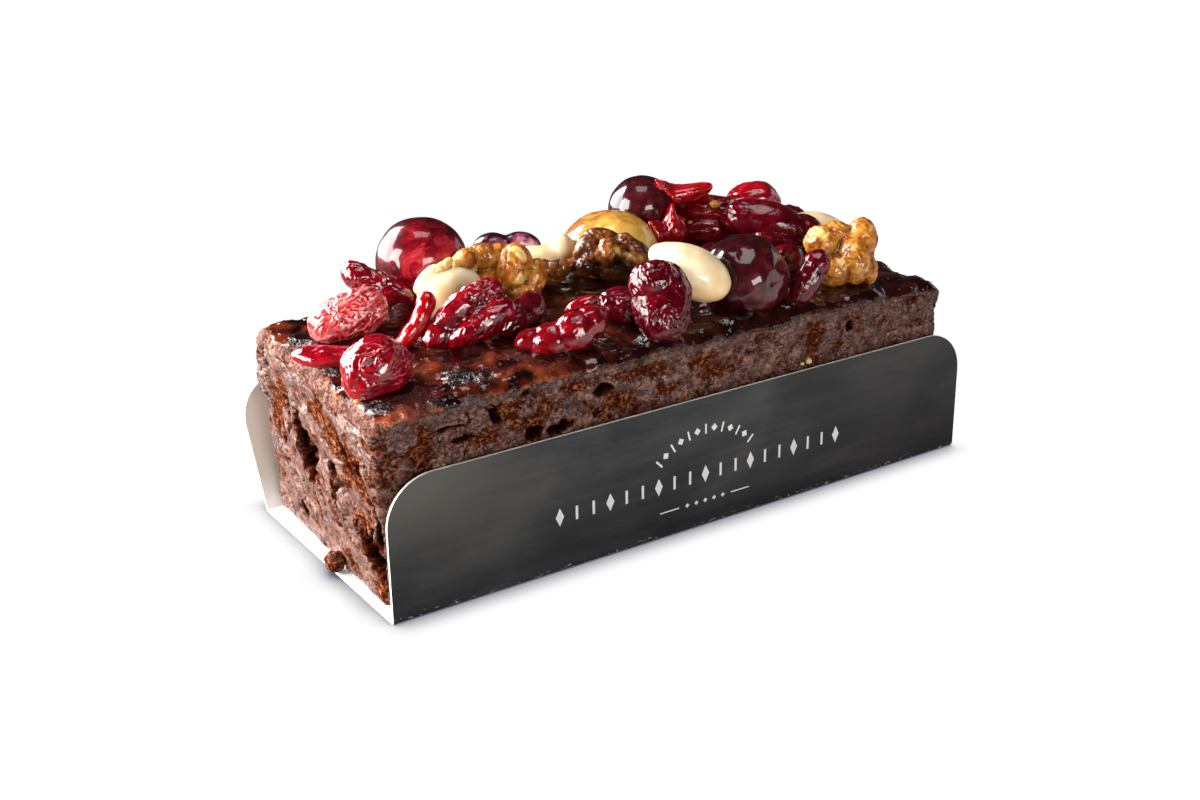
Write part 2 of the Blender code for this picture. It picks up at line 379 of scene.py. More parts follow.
def crumb_colours(look, loose, crack):
    """Brown smears, orange-brown grains where the crumb is loose, dark red-brown specks, and painted shade in
    the cracks.
    """
    turn = atan2(DRAG[2], DRAG[1])
    smear = look.ramp(
        look.noise((3, 3.8, 1.9), 6, 0.66, 0.9, turn=turn), (0.30, (0.062, 0.020, 0.012)),
        (0.48, (0.150, 0.060, 0.040)), (0.66, (0.305, 0.140, 0.095)),
    )
    fine = look.noise((0.8, 1, 0.6), 4, 0.62, turn=turn)
    grain = look.ramp(
        look.less(fine, look.times(look.cells(1), 0.12)), (0.30, (0.024, 0.004, 0.0015)),
        (0.42, (0.100, 0.024, 0.010)), (0.54, (0.29, 0.094, 0.037)), (0.70, (0.55, 0.23, 0.088)),
    )
    share = look.plus(loose, look.between(fine, 0.35, 0.68, 0.40, -0.40))
    colour = look.mix(look.between(share, 0.20, 0.80), smear, grain)
    streak = look.off_half(look.noise((1.3, 2.6, 0.8), 3, 0.6, 0.4, turn=turn))
    broken = look.between(look.noise((1.5, 1.9, 1.1), 2, shift=40), 0.38, 0.54)
    speck = look.times(look.between(streak, 0.018, 0.065, 1, 0), broken)
    # The cracks are painted dark red-brown as shade in them; the specks are dark crumb.
    share = look.plus(crack, look.between(fine, 0.35, 0.70, 0.25, -0.25))
    share = look.most(look.between(share, 0.35, 0.75), speck)
    height = look.less(fine, look.times(speck, 0.8))
    return look.mix(share, colour, (0.062, 0.012, 0.004)), height


def crumb_look(look):
    hollow = look.attribute("hollow")
    loose = look.attribute("loose")
    crack = look.attribute("crack")
    colour, fine = crumb_colours(look, loose, crack)
    skin = look.ramp(
        look.noise(1.6, 4, 0.65, shift=9), (0.30, (0.024, 0.013, 0.012)), (0.50, (0.060, 0.038, 0.034)),
        (0.72, (0.120, 0.084, 0.074)),
    )
    colour = look.mix(look.times(look.attribute("raisin"), 0.7), colour, skin)
    colour = look.mix(look.times(look.attribute("soak"), 0.6), colour, (0.040, 0.012, 0.008))
    # Darker towards the right end: painted shade.
    colour = look.mix(look.between(look.along("X"), -10, 50, 0, 0.34), colour, (0.060, 0.015, 0.008))
    matt = look.most(look.most(look.times(loose, 0.8), crack), hollow)
    grit = look.times(fine, look.between(loose, 0, 0.8, 0.7, 1))
    # The hollows are painted near black: painted shade.
    look.set(
        Base_Color=look.mix(hollow, colour, (0.009, 0.002, 0.001)), Roughness=0.7, Specular_IOR_Level=0,
        Coat_Weight=look.between(matt, 0, 0.8, 1, 0), Coat_Roughness=0.30, Coat_IOR=1.52,
        Normal=look.bump(grit, 0.62), Coat_Normal=look.bump(grit, 0.36),
    )


def glaze_look(look):
    """Dark syrupy glaze, redder where it is shallow, giving way to bare crumb where thin is 1."""
    thin = look.attribute("thin")
    pool = look.attribute("pool")
    pebbly = look.attribute("pebbly")
    mottle = look.noise(3.2, 5, 0.66, 0.2)
    shallow = look.plus(look.noise(6.5, 3, 0.5, 0.3), look.times(mottle, 0.35))
    colour = look.ramp(
        shallow, (0.58, (0.009, 0.0009, 0.0007)), (0.69, (0.080, 0.010, 0.004)),
        (0.79, (0.165, 0.026, 0.009)), (0.92, (0.28, 0.065, 0.018)),
    )
    # Darker near the toppings, where the glaze is deeper and painted shade falls from them, and towards the
    # right end, painted shade.
    right = look.between(look.along("X"), -46, -8, 0, 0.88)
    colour = look.mix(look.most(look.times(pool, 0.85), right), colour, (0.008, 0.0010, 0.0007))
    edge = look.times(look.between(thin, 0.02, 0.3), look.between(mottle, 0.46, 0.60))
    edge = look.times(edge, look.between(look.along("X"), -40, -10, 0.8, 0.1))
    colour = look.mix(edge, colour, (0.42, 0.10, 0.018))
    bare, fine = crumb_colours(look, 0.25, 0)
    haze = look.between(look.noise(2.6, 3, 0.6, shift=5), 0.46, 0.62, 0.035, 0.15)
    ripple = look.plus(look.noise(1.4, 2), look.times(look.noise(0.6, 1), 0.2))
    ripple = look.times(ripple, look.between(pool, 0, 1, 0.36, 0.12))
    pebbles = look.times(look.noise(0.9, 3, 0.6), look.times(pebbly, 1.35))
    ripple = look.plus(look.plus(ripple, pebbles), look.times(fine, look.times(thin, 0.4)))
    look.set(
        Base_Color=look.mix(look.between(thin, 0.3, 0.8), colour, bare), Roughness=0.6,
        Specular_IOR_Level=0, Coat_Weight=look.less(1, look.times(thin, 0.8)),
        Coat_Roughness=look.most(haze, look.between(thin, 0.2, 0.9, 0, 0.30)), Coat_IOR=1.5,
        Normal=look.bump(look.mix(thin, ripple, look.times(fine, 1.2)), 0.25),
        Coat_Normal=look.bump(ripple, 0.75),
    )


def almond_look(look):
    broad = look.noise(5, 2)
    colour = look.ramp(
        broad, (0.30, (0.78, 0.55, 0.29)), (0.50, (0.85, 0.67, 0.41)), (0.70, (0.90, 0.77, 0.54)),
    )
    # Undersides and creases turn amber: painted shade.
    colour = look.mix(look.attribute("low"), colour, (0.78, 0.44, 0.13))
    specks = look.between(look.noise(0.7, 3, 0.6), 0.62, 0.72, 0, 0.35)
    look.set(
        Base_Color=look.mix(specks, colour, (0.62, 0.36, 0.14)), Roughness=0.34, Subsurface_Weight=0.45,
        Subsurface_Radius=(1, 0.62, 0.30), Subsurface_Scale=2.2 * MM, Coat_Weight=0.5, Coat_Roughness=0.12,
        Normal=look.bump(look.noise(1.3), 0.05),
    )


def walnut_look(look, low, middle, high, pale):
    veins = look.off_half(look.noise(1.7, 2, 0.5, 0.8))
    mottle = look.noise(2.4, 3, 0.55, 0.6)
    skin = look.ramp(mottle, (0.32, low), (0.50, middle), (0.70, high))
    skin = look.mix(look.between(veins, 0, 0.035, 0.5, 0), skin, low)
    flesh = look.ramp(look.noise(1.4), (0.3, tuple(c * 0.82 for c in pale)), (0.7, pale))
    colour = look.mix(look.attribute("pale"), skin, flesh)
    # The creases are painted dark: painted shade.
    look.set(
        Base_Color=look.mix(look.times(look.attribute("crease_shade"), 0.92), colour, tuple(c * 0.25 for c in low)),
        Roughness=0.45, Specular_IOR_Level=0.1, Coat_Weight=0.75, Coat_Roughness=0.11, Subsurface_Weight=0.1,
        Subsurface_Radius=(1, 0.5, 0.2), Subsurface_Scale=1 * MM,
        Normal=look.bump(look.noise(0.7, 3, 0.55), 0.10),
    )


def cherry_look(look, dark, middle, bright, glow, clear=0.35, spread_mm=2, through=0.30):
    cloud = look.noise(4.2, 5, 0.66, 1.1)
    # The side facing down, right and toward the camera is painted brighter: painted glow of light through the
    # fruit.
    value = look.plus(cloud, look.times(look.less(look.attribute("painted_glow"), 0.35), through))
    look.set(
        Base_Color=look.ramp(value, (0.30, dark), (0.50, middle), (0.66, bright), (0.84, glow)),
        Roughness=0.25, Specular_IOR_Level=0.1,
        Coat_Weight=look.between(look.facing(), 0.52, 0.72, 1, 0.15), Coat_Roughness=0.012, Coat_IOR=1.38,
        Subsurface_Weight=clear, Subsurface_Radius=(1, 0.25, 0.12) if clear < 0.9 else (1, 0.8, 0.45),
        Subsurface_Scale=spread_mm * MM,
    )


def berry_look(look, deep, middle, bright, gloss=0.035, shine=1.68):
    mottle = look.noise(2.2, 3, 0.6, 0.5)
    # Ridges are painted lighter and valleys darker: painted highlight and shade.
    value = look.plus(look.times(mottle, 0.6), look.times(look.attribute("ridge_light_and_shade"), 0.4))
    normal = look.bump(look.noise(1, 2, 0.5, 0.6), 0.06)
    look.set(
        Base_Color=look.ramp(value, (0.24, deep), (0.47, middle), (0.74, bright)), Roughness=0.4,
        Specular_IOR_Level=0, Coat_Weight=1, Coat_Roughness=gloss, Coat_IOR=shine, Subsurface_Weight=0.3,
        Subsurface_Radius=(1, 0.06, 0.05), Subsurface_Scale=1.3 * MM, Normal=normal,
        Coat_Normal=look.bump(look.off_half(look.noise(0.9)), 0.10, normal),
    )


def print_look(look):
    clouds = look.noise((34, 20, 15), 3, 0.55, 0.6)
    strokes = look.noise((40, 8, 1.6), 3, 0.6, 0.3, shift=4)
    tone = look.ramp(
        look.plus(look.times(clouds, 0.78), look.times(strokes, 0.22)), (0.32, (0.017, 0.016, 0.016)),
        (0.50, (0.034, 0.034, 0.036)), (0.68, (0.062, 0.060, 0.059)),
    )
    # Darker towards the right end of the front wall: painted shade.
    tone = look.mix(look.between(look.along("X"), 0, 70, 0, 0.45), tone, (0.020, 0.0165, 0.0158))
    # Lighter and warmer towards the top left.
    warm = look.between(look.along("X"), -75, -35, 1, 0)
    warm = look.times(warm, look.between(look.along("Z"), 8, 28))
    tone = look.mix(warm, tone, (0.100, 0.090, 0.080))
    low = look.between(look.along("Z"), 0.5, 1.7, 1, 0)
    scuffs = look.times(look.between(look.noise((1.6, 1, 0.5), 3, 0.7), 0.60, 0.66), low)
    look.set(
        Base_Color=look.mix(scuffs, tone, (0.55, 0.53, 0.51)),
        Roughness=look.between(look.noise(6), 0.3, 0.7, 0.42, 0.52), Specular_IOR_Level=0.22,
        Normal=look.bump(look.noise(0.5, 2), 0.012),
    )


def board_look(look, colour, fibre, warm=None):
    tone = look.noise((3, 1.4, 1.4), 4, 0.6)
    tone = look.ramp(tone, (0.3, tuple(c * fibre for c in colour)), (0.7, colour))
    # warm is a darker, warmer colour for the walls above the floor: painted shade and bounced light.
    if warm:
        tone = look.mix(look.between(look.along("Z"), 1, 9), tone, warm)
    look.set(Base_Color=tone, Roughness=0.62, Normal=look.bump(look.noise(0.35), 0.03))


def made(name, recipe, *colours):
    look = Look(name)
    recipe(look, *colours)
    return look.material


# How each finish is made, and from which colours, dark to light. A gold cherry is clearer than a red one,
# the highlit berry is a lighter copy whose pinkish-white ridges are painted highlight, with a duller,
# stronger gloss, and a dark berry has a duller, weaker one.
RECIPES = {
    "crumb": (crumb_look,),
    "glaze": (glaze_look,),
    "almond": (almond_look,),
    "walnut": (
        walnut_look, (0.17, 0.034, 0.002), (0.40, 0.130, 0.010), (0.64, 0.30, 0.042), (0.86, 0.56, 0.19),
    ),
    "dark_walnut": (
        walnut_look, (0.030, 0.005, 0.0006), (0.12, 0.026, 0.002), (0.32, 0.092, 0.010), (0.62, 0.30, 0.065),
    ),
    "red_cherry": (
        cherry_look, (0.018, 0.0003, 0.001), (0.070, 0.001, 0.004), (0.20, 0.003, 0.010),
        (0.42, 0.034, 0.040),
    ),
    "dark_cherry": (
        cherry_look, (0.010, 0.0006, 0.001), (0.022, 0.0015, 0.003), (0.050, 0.004, 0.006),
        (0.12, 0.013, 0.015),
    ),
    "gold_cherry": (
        cherry_look, (0.22, 0.075, 0.012), (0.44, 0.21, 0.036), (0.62, 0.36, 0.072), (0.72, 0.46, 0.11),
        1, 5, 0.55,
    ),
    "plum": (
        cherry_look, (0.006, 0.001, 0.001), (0.020, 0.004, 0.007), (0.24, 0.045, 0.085), (0.72, 0.42, 0.46),
    ),
    "red_berry": (berry_look, (0.024, 0.0002, 0.001), (0.145, 0.0003, 0.004), (0.42, 0.003, 0.012)),
    "bright_berry": (berry_look, (0.06, 0.0002, 0.0008), (0.25, 0.0005, 0.003), (0.50, 0.005, 0.008)),
    # A lighter copy of the berry skin whose pinkish-white ridges are painted highlight.
    "highlit_berry": (berry_look, (0.20, 0.0004, 0.001), (0.38, 0.008, 0.012), (0.74, 0.32, 0.31), 0.05, 1.75),
    "deep_berry": (berry_look, (0.016, 0.0002, 0.0008), (0.095, 0.0003, 0.003), (0.33, 0.002, 0.009)),
    "dark_berry": (
        berry_look, (0.011, 0.0002, 0.0008), (0.050, 0.0004, 0.003), (0.17, 0.002, 0.008), 0.05, 1.48,
    ),
    "print": (print_look,),
    # The board's last colour paints shade on the tray's inner walls.
    "board": (board_look, (0.87, 0.845, 0.81), 0.96, (0.64, 0.57, 0.50)),
    "raw_edge": (board_look, (0.80, 0.76, 0.71), 0.80),
    "peel": (board_look, (0.66, 0.26, 0.04), 0.45),
    "pale_crumb": (board_look, (0.66, 0.50, 0.26), 0.6),
    "ink": (board_look, (0.74, 0.74, 0.75), 0.93),
}
LOOKS = {name: made(name, *recipe) for name, recipe in RECIPES.items()}

# ---- the loaf


# Half the size of the plain box that becomes the loaf.
BOX_HALF = np.array([*CAKE_BROW, CAKE_RIM - CAKE_BOTTOM]) / 2


def loaf(place):
    """Points on a plain box's skin, moved onto the loaf."""
    half = BOX_HALF
    level = (place[:, 2] + half[2]) / (2 * half[2])
    radius = (FOOT_EDGE + (BROW_EDGE - FOOT_EDGE) * level).reshape(-1, 1)
    core = np.clip(place, -half + radius, half - radius)
    away = place - core
    place = core + away / np.linalg.norm(away, axis=1, keepdims=True) * radius
    along = place[:, 0] / half[0]
    across = place[:, 1] / half[1]
    rise = (place[:, 2] + half[2]) / (2 * half[2])
    foot = np.array(CAKE_FOOT) / 2
    reach = foot + (half[:2] - foot) * rise.reshape(-1, 1)
    dome = CAKE_DOME * np.clip(1 - along**6, 0, None) * np.clip(1 - across**4, 0, None) * rise**3
    level = place[:, 2] + half[2] + CAKE_BOTTOM + dome
    shaped = np.stack([along * reach[:, 0], across * reach[:, 1], level], 1)
    left = np.minimum(along, 0)
    shaped[:, 0] += CAKE_SKEW * across * left**2
    shaped[:, 2] -= CORNER_DROP * left**8 * (1 - across) / 2 * rise**3
    right = np.clip(along, 0, 1)
    shaped[:, 2] -= RIGHT_DROP * right**9 * rise**3
    shaped[:, 0] += RIGHT_BULGE * right**9 * np.clip(1 - np.abs(rise - 0.72) / 0.3, 0, 1)
    places = [Vector(p) for p in shaped / LUMP_SPACING]
    bump = np.array([noise.noise(p) + 0.5 * noise.noise(p * 2.3) for p in places])
    push = LUMP_HEIGHT * bump * np.minimum(1, shaped[:, 2] / LUMP_FREE_HEIGHT)
    shaped += np.stack([along**5, across**5, rise**4], 1) * push.reshape(-1, 1)
    shaped[:, :2] += CAKE_CENTRE
    return shaped


def quads_of(grid):
    """The four-sided faces of a grid of point numbers."""
    return np.stack([grid[:-1, :-1], grid[1:, :-1], grid[1:, 1:], grid[:-1, 1:]], -1).reshape(-1, 4)


def box_skin(xs, ys, zs, top):
    """Points and four-sided faces of a box's sides, and of its top if asked for, on those grid lines."""
    lines = (xs, ys, zs)
    last = [len(line) - 1 for line in lines]

    def patch(fixed, end, flip):
        first, second = [axis for axis in range(3) if axis != fixed]
        i, j = np.meshgrid(range(last[first] + 1), range(last[second] + 1), indexing="ij")
        ids = [None, None, None]
        ids[fixed] = np.full(i.shape, last[fixed] if end else 0)
        ids[first], ids[second] = i, j
        key = (ids[0] * len(ys) + ids[1]) * len(zs) + ids[2]
        return quads_of(key)[:, ::-1] if flip else quads_of(key)

    quads = [patch(0, 0, True), patch(0, 1, False), patch(1, 0, False), patch(1, 1, True)]
    if top:
        quads.append(patch(2, 1, False))
    quads = np.concatenate(quads)
    keys, faces = np.unique(quads, return_inverse=True)
    k = keys % len(zs)
    j = keys // len(zs) % len(ys)
    i = keys // len(zs) // len(ys)
    return np.stack([xs[i], ys[j], zs[k]], 1), faces.reshape(-1, 4)


def rows(low, high, step):
    """Grid lines about a step apart."""
    return np.linspace(low, high, max(2, round((high - low) / step) + 1))


# Hollows in the cut faces: place along the side, height, width, height of the hollow, depth and lean.
HOLLOWS = {
    "left": (
        (6.8, 23.9, 7.4, 12, 5, 0.20), (-24.2, 11.4, 8.6, 9, 5, 0.50), (-6.5, 24.2, 4.8, 3.8, 3.2, 0),
        (14.5, 30.3, 1.8, 3.6, 2.2, 0.5), (12.4, 6.9, 1.5, 4, 2.2, 0), (-6.2, 11.1, 3.4, 1.1, 1.8, 0),
        (5.7, 16.5, 3, 1, 1.6, 0), (-14, 29.8, 3.8, 6, 2.8, 0.6), (-20, 29.2, 2.4, 3, 1.8, 0.5),
        (-25.5, 20.6, 1.5, 8, 1.6, 0.3), (-6.7, 19.9, 1.9, 3.2, 1.6, 0.5), (-6.7, 17.1, 1.4, 2.8, 1.4, 0.7),
        (-27, 5, 1.8, 2.4, 1.6, 0), (24.8, 37, 1.4, 3.4, 1.8, 0.5), (-16.8, 15.9, 1.4, 4, 1.6, 0.3),
    ),
    "front": (
        (-50.4, 37.7, 2.3, 4.4, 3.4, -0.4), (-42.9, 40.1, 1.1, 1.3, 1.2, 0), (-41.3, 31, 3.6, 2.6, 3.2, 0),
        (-35.6, 30.8, 4.6, 2.4, 3, 0.6), (-25.2, 36.5, 4.2, 2.2, 3, 0.3), (-26, 31.4, 1.8, 1.2, 1.4, 0),
        (-60.5, 36.6, 6.5, 0.8, 1.2, 0), (-57, 33.6, 5, 0.9, 1.4, 0), (41, 36.5, 2, 2.4, 1.6, 0),
    ),
}

# Where the crumb has broken into loose grains: place along the side, height, half width and half height.
LOOSE = {
    "left": (
        (-2, 34.5, 4.5, 3), (-9.5, 31.5, 5, 4), (-15.5, 28.5, 4, 5.5), (-21.5, 26.5, 4, 4.5),
        (-19.5, 17.5, 4.5, 3.5), (16.5, 33, 3, 4), (21, 27, 3, 5), (-25, 6, 4, 4),
    ),
    "front": (
        (-31, 38.4, 4, 1.6), (-38, 35.6, 4, 1.8), (-46.5, 37.5, 4.5, 2.2), (-43, 33.5, 5, 1.8),
        (-54, 33, 6, 1.8), (-66, 33, 3, 5), (-15, 38.6, 7, 2.2), (-20.5, 33.5, 4, 3), (-9.5, 33, 3.6, 1.6),
        (0.5, 37.5, 4.5, 1.6), (4, 33.5, 4, 1.6), (15, 39.5, 3.5, 1.2), (30.5, 37, 4, 4),
        (43, 39, 3.5, 1.4), (60, 40, 4, 2),
    ),
}


def on_side(side, points, outward):
    """The place along a side, and whether each point faces that way."""
    axis, other = (1, 0) if side == "left" else (0, 1)
    return points[:, axis], -outward[:, other] > 0.6


def crumb_height(points, outward):
    """Height of the torn crumb over the smooth loaf, and how far it is raisin, hollow, loose or cracked;
    hollows and cracks are later painted with shade.
    """
    stretched = points - np.outer(points @ DRAG, DRAG) * 0.5
    warped = stretched + 1.5 * drift(points / 4, 3)
    rough = fractal(stretched / 1.5, 3, 11, 0.6)
    field = 0.62 * perlin(warped / 3.6, 15) + 0.34 * rough
    zone = np.zeros(len(points))
    for side, places in LOOSE.items():
        across, faces = on_side(side, points, outward)
        for place, level, half, rise in places:
            away = np.hypot((across - place) / half, (points[:, 2] - level) / rise)
            zone = np.maximum(zone, np.clip(1.3 - away, 0, 1) * faces)
    loose = ease(field + 0.85 * zone + 0.10, 0.12, 0.66)
    lines = perlin(warped / 2.6, 5)
    crack = np.exp(-((lines / 0.09) ** 2)) * ease(perlin(warped / 4.8, 6) + 0.3 * rough, 0, 0.35)
    rim = ease(CAKE_RIM - points[:, 2] + 0.8 * perlin(points / 2.5, 33), 1.2, 3.6)
    loose *= rim
    crack *= rim
    grain, _, lift = cells((stretched + 0.3 * drift(points / 0.8, 7)) / 1.1, 12)
    granules = (1 - np.clip(grain, 0, 1)) * (0.3 + 0.7 * lift)
    height = 0.42 * fractal(warped / 4.5, 3, 4, 0.5) + 0.20 * rough - 0.6 * crack
    height += loose * (0.8 * granules - 0.6 + 0.12 * rough)
    raisin = ease(perlin(warped / 3.2, 21) + 0.15 * rough, 0.44, 0.62) * (1 - loose)
    height += 0.25 * raisin
    hollow = np.zeros(len(points))
    ragged = 0.45 * perlin(points / 1.4, 31)
    for side, places in HOLLOWS.items():
        across, faces = on_side(side, points, outward)
        for place, level, wide, tall, depth, lean in places:
            rise = (points[:, 2] - level) / (tall / 2)
            sway = (across - place - lean * (points[:, 2] - level)) / (wide / 2)
            reach = np.sqrt(rise**2 + sway**2) + ragged
            height -= depth * (1 - ease(reach, 0.55, 1.15)) * faces
            hollow = np.maximum(hollow, (1 - ease(reach, 0.95, 1.2)) * faces)
            crack = np.maximum(crack, (1 - ease(reach, 1, 1.5)) * faces)
    pits = ease(perlin(points / 2, 41), 0.60, 0.75) * rim
    height -= pits
    # The pits are marked for painted shade as well.
    hollow = np.maximum(hollow, 0.7 * pits)
    return height, {"raisin": raisin, "hollow": hollow, "loose": loose, "crack": crack}


def build_crumb():
    xs = rows(-BOX_HALF[0], BOX_HALF[0], STEP)
    ys = rows(-BOX_HALF[1], BOX_HALF[1], STEP_ACROSS)
    below = rows(-BOX_HALF[2], FOOT_LEVEL, STEP_BELOW)
    zs = np.concatenate([below, rows(FOOT_LEVEL, BOX_HALF[2], STEP)[1:]])
    box, faces = box_skin(xs, ys, zs, top=False)
    points = loaf(box)
    piece = new_piece("cake_crumb", points, faces, [LOOKS["crumb"]])
    outward = normals_of(piece)
    height, shares = crumb_height(points, outward)
    height *= ease(box[:, 2], -BOX_HALF[2], -BOX_HALF[2] + 1.5)
    swell(piece, height)
    for name, share in shares.items():
        paint(piece, name, share)
    drop = BOX_HALF[2] - box[:, 2]
    reach = 1.8 + 1.6 * perlin(points / 6, 71) + 0.8 * perlin(points / 2, 72)
    paint(piece, "soak", (1 - ease(drop - reach, -1, 1.6)) * ease(outward[:, 0], -0.9, -0.5))
    close_ends(piece, box[:, 2])
    settle_in(piece, "crumb", "cake")


def close_ends(piece, level):
    """Closes the loaf below and, under the glaze, above, each with one flat face."""
    work = bmesh.new()
    work.from_mesh(piece.data)
    open_edges = [edge for edge in work.edges if edge.is_boundary]
    for end in (level.min(), level.max()):
        rim = [edge for edge in open_edges if abs(level[edge.verts[0].index] - end) < TOUCHING]
        bmesh.ops.contextual_create(work, geom=rim)
    bmesh.ops.recalc_face_normals(work, faces=work.faces)
    work.to_mesh(piece.data)
    work.free()


# Where the glaze has set in fine pebbles that catch the light: x, y and radius.
PEBBLY = (
    (-66, -25, 6), (-70, -23.5, 3.5), (-53, -21.5, 4.5), (-48.5, -24, 3.5), (-71, -2.5, 3.2),
    (-71.5, 14, 4), (-27.5, -17.5, 3.5), (-39, -18.5, 2.6),
)


def topping_trees():
    """A search tree of each topping that touches the glaze."""
    depsgraph = bpy.context.evaluated_depsgraph_get()
    return [
        BVHTree.FromObject(node, depsgraph)
        for name, node in frame["nodes"].items()
        if name not in ("tray", "cake", "crumb")
    ]


def build_glaze():
    low = (-BOX_HALF[0], -BOX_HALF[1], BOX_HALF[2] - GLAZE_SKIRT)
    box, faces = box_skin(*(rows(*ends, STEP) for ends in zip(low, BOX_HALF)), top=True)
    points = loaf(box)
    piece = new_piece("cake_glaze", points, faces, [LOOKS["glaze"]])
    trees = topping_trees()
    reach = np.full(len(points), FAR)
    for index in np.nonzero(box[:, 2] > BOX_HALF[2] - 0.1)[0]:
        place = Vector(points[index] * MM)
        for tree in trees:
            found = tree.find_nearest(place, GLAZE_REACH * MM)
            if found[3] is not None:
                reach[index] = min(reach[index], found[3] / MM)
    # pool marks the glaze near the toppings: deeper there, and painted darker in the look as shade from the
    # toppings.
    pool = 1 - ease(reach + perlin(points / 3, 64), 2, 7)
    climb = np.exp(-reach / 1.1)
    drop = BOX_HALF[2] - box[:, 2]
    from_left = box[:, 0] + BOX_HALF[0]
    rim = np.minimum(np.minimum(from_left, BOX_HALF[0] - box[:, 0]), BOX_HALF[1] - np.abs(box[:, 1])) - drop
    left = 1 - ease(from_left - drop, 2, 7)
    edge = -1.4 + 3.8 * left + (1.1 + 1.2 * left) * perlin(points / 5, 61)
    edge += (0.5 + 0.7 * left) * perlin(points / 1.8, 62)
    thin = 1 - ease(rim - edge, -1.3, 1.3)
    under = ease(drop, 1.2, 3.4)
    pebbly = np.zeros(len(points))
    for x, y, radius in PEBBLY:
        away = np.hypot(points[:, 0] - x, points[:, 1] - y) / radius + 0.35 * perlin(points / 2.2, 66)
        pebbly = np.maximum(pebbly, 1 - ease(away, 0.5, 1.1))
    lumps = 0.42 * fractal(points / 4.2, 2, 63) + (0.18 + 0.40 * pebbly) * fractal(points / 1.6, 2, 65)
    syrup = 0.32 + lumps * (1 - 0.75 * pool) + 1.1 * climb
    crumb = crumb_height(points, normals_of(piece))[0]
    swell(piece, (syrup * (1 - thin) + (0.8 * crumb + 0.1) * thin) * (1 - under) - 1.6 * under)
    for name, share in (("pool", pool), ("thin", thin), ("pebbly", pebbly)):
        paint(piece, name, share)
    settle_in(piece, "crumb")


# ---- the toppings


